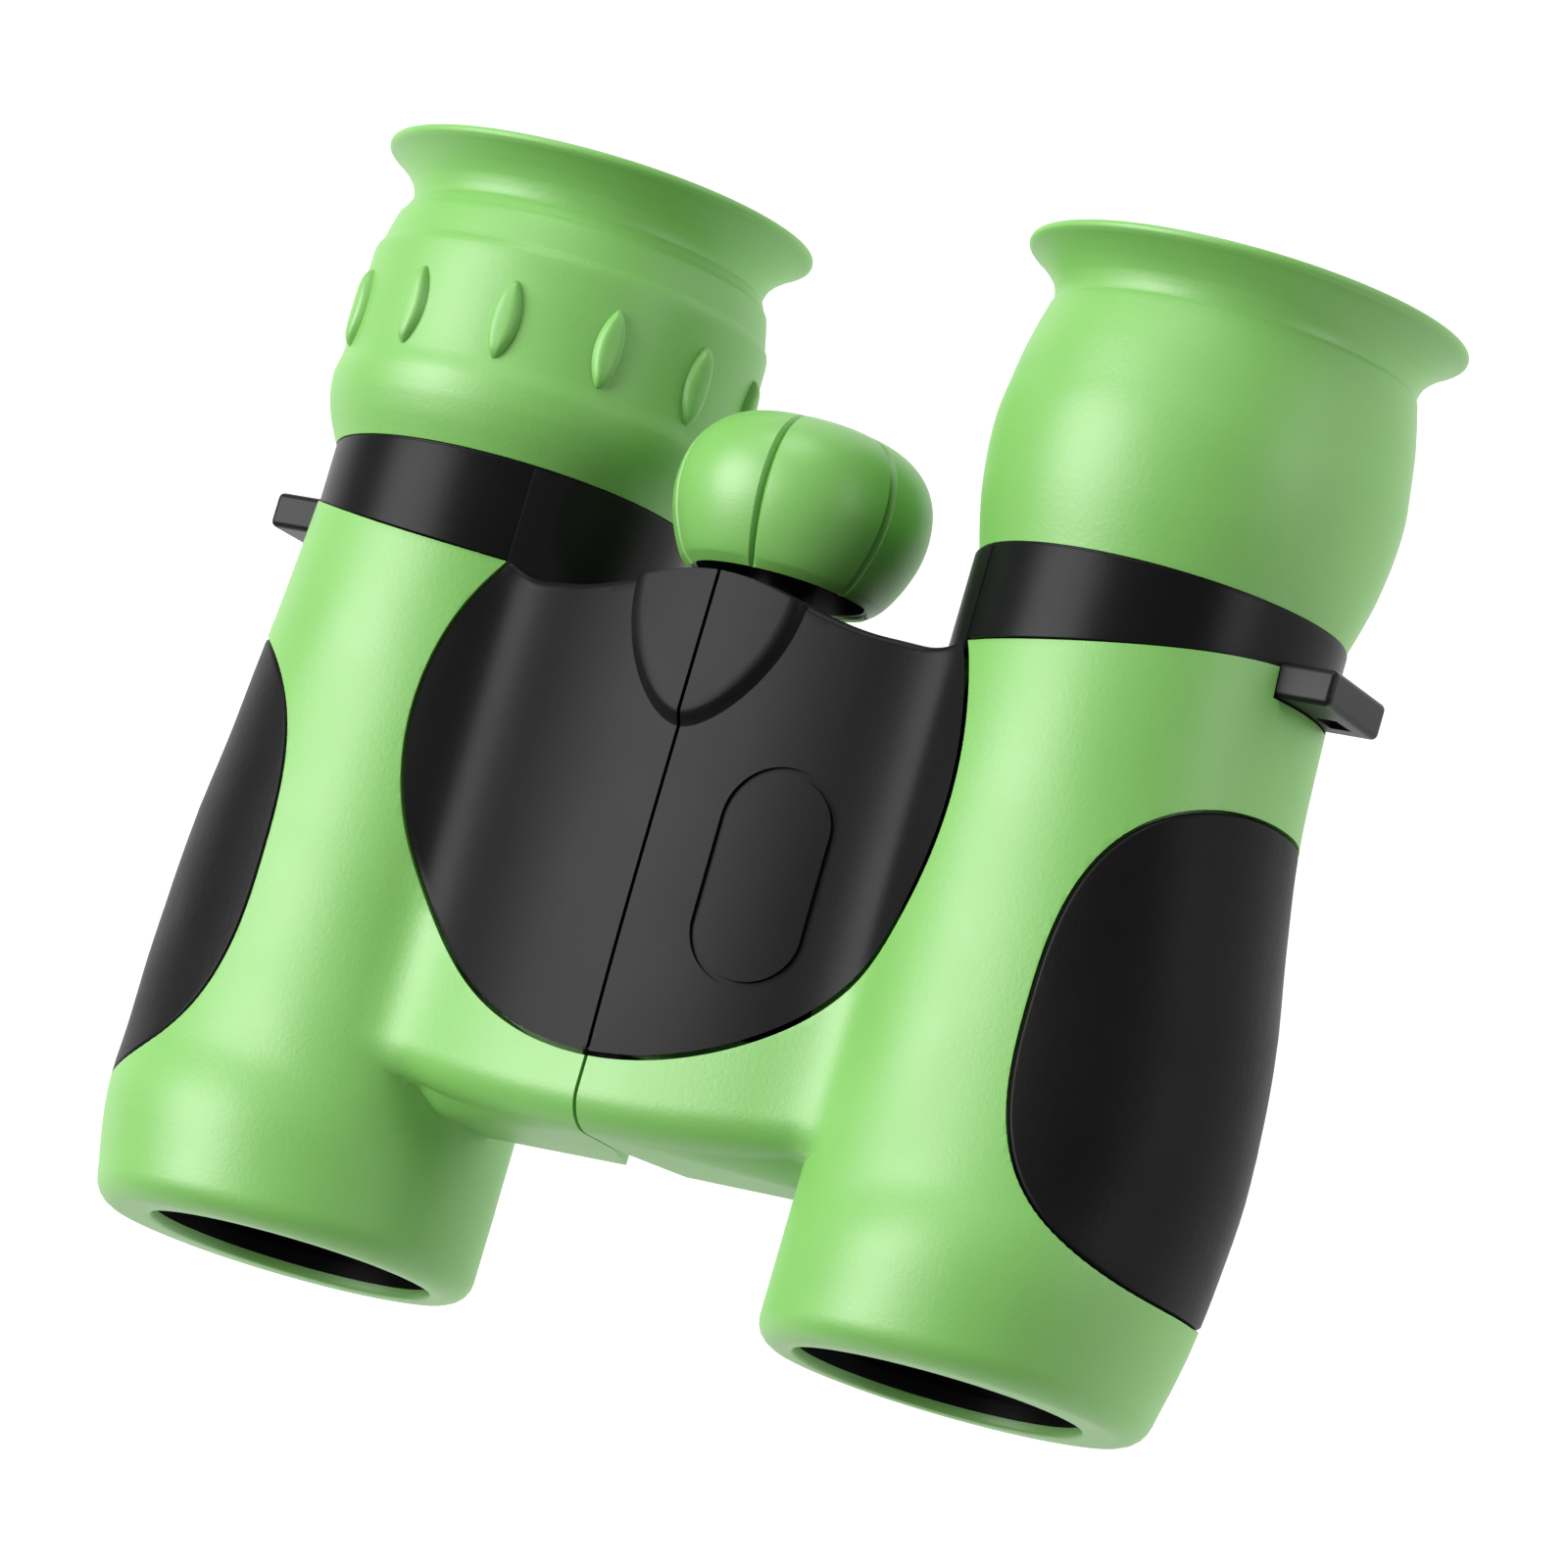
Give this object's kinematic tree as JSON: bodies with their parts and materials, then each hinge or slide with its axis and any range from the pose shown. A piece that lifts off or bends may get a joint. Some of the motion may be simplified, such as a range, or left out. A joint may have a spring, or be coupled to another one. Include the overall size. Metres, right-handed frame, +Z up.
{
  "type": "toy binoculars",
  "caption": "Compact children's roof-prism binoculars: green soft-touch barrels on a folding bridge, flared eyecups, round focus knob, dioptre ring, black grips and strap lugs.",
  "frame": {"origin": "on the surface that the eyecup rims lie on, under the middle of the bridge", "axes": "+X across to the right barrel, +Y from the objectives to the eyecups, +Z up through the bridge cover"},
  "size_m": [0.1054, 0.095, 0.0377],
  "materials": {
    "casing_green": "satin soft-touch coat",
    "eyecup_green": "satin, soft",
    "knob_green": "satin soft-touch coat",
    "grip_black": "satin, soft",
    "cover_black": "satin, fine grain",
    "frame_black": "satin",
    "lug_black": "satin",
    "inner_black": "matt black against stray light",
    "glass": "polished",
    "coated_glass": "polished, with a thin coat",
    "steel": "turned",
    "brass": "turned"
  },
  "bodies": {
    "left_half": {"left_frame": "frame_black", "left_skin": "casing_green", "left_grip": "grip_black", "left_bridge_cover": "cover_black", "left_cover_screws": "steel", "left_strap_lug": "lug_black", "left_prism_holder": "inner_black", "left_penta_prism": "glass", "left_roof_prism": "glass", "left_eyepiece_sleeve": "inner_black", "hinge_tube": "steel", "hinge_washers": "brass", "front_pin": "steel"},
    "right_half": {"right_frame": "frame_black", "right_skin": "casing_green", "right_grip": "grip_black", "right_bridge_cover": "cover_black", "right_cover_screws": "steel", "right_strap_lug": "lug_black", "right_prism_holder": "inner_black", "right_penta_prism": "glass", "right_roof_prism": "glass", "right_eyepiece_sleeve": "inner_black", "right_eyepiece_cell": "inner_black", "right_field_lens": "glass", "right_lens_spacer": "inner_black", "right_eye_lens": "coated_glass", "right_eyepiece_ring": "inner_black", "right_eyecup": "eyecup_green"},
    "focus_knob": {"focus_knob": "knob_green", "focus_shaft": "steel", "shaft_clip": "steel"},
    "focus_collar": {"focus_collar": "brass"},
    "left_objective": {"left_objective_cell": "inner_black", "left_objective_lens": "coated_glass", "left_objective_flint": "glass", "left_objective_ring": "inner_black"},
    "right_objective": {"right_objective_cell": "inner_black", "right_objective_lens": "coated_glass", "right_objective_flint": "glass", "right_objective_ring": "inner_black"},
    "diopter_eyecup": {"left_eyecup": "eyecup_green"},
    "diopter_cell": {"left_eyepiece_cell": "inner_black", "left_field_lens": "glass", "left_lens_spacer": "inner_black", "left_eye_lens": "coated_glass", "left_eyepiece_ring": "inner_black", "diopter_pin": "steel"}
  },
  "joints": [
    {"name": "fold_hinge", "type": "hinge", "parent": "left_half", "child": "right_half", "pos_m": [0, 0, 0.02515], "axis": [0, 1, 0], "range_deg": [0, 40]},
    {"name": "focus_turn", "type": "hinge", "parent": "left_half", "child": "focus_knob", "pos_m": [0, 0, 0.02515], "axis": [0, 1, 0], "range_deg": [-270, 270]},
    {"name": "collar_slide", "type": "slide", "parent": "left_half", "child": "focus_collar", "axis": [0, 1, 0], "range_m": [-0.002, 0.002]},
    {"name": "left_focus", "type": "slide", "parent": "left_half", "child": "left_objective", "axis": [0, 1, 0], "range_m": [-0.002, 0.002]},
    {"name": "right_focus", "type": "slide", "parent": "right_half", "child": "right_objective", "axis": [0, 1, 0], "range_m": [-0.002, 0.002]},
    {"name": "diopter_turn", "type": "hinge", "parent": "left_half", "child": "diopter_eyecup", "pos_m": [-0.03225, 0, 0.01885], "axis": [0, 1, 0], "range_deg": [-40, 40]},
    {"name": "diopter_slide", "type": "slide", "parent": "left_half", "child": "diopter_cell", "axis": [0, 1, 0], "range_m": [-0.0006, 0.0006]}
  ],
  "couplings": [
    {"joint": "collar_slide", "follows": "focus_turn", "m_per_rad": 0.000424},
    {"joint": "left_focus", "follows": "focus_turn", "m_per_rad": 0.000424},
    {"joint": "right_focus", "follows": "focus_turn", "m_per_rad": 0.000424},
    {"joint": "diopter_slide", "follows": "diopter_turn", "m_per_rad": 0.000859}
  ]
}
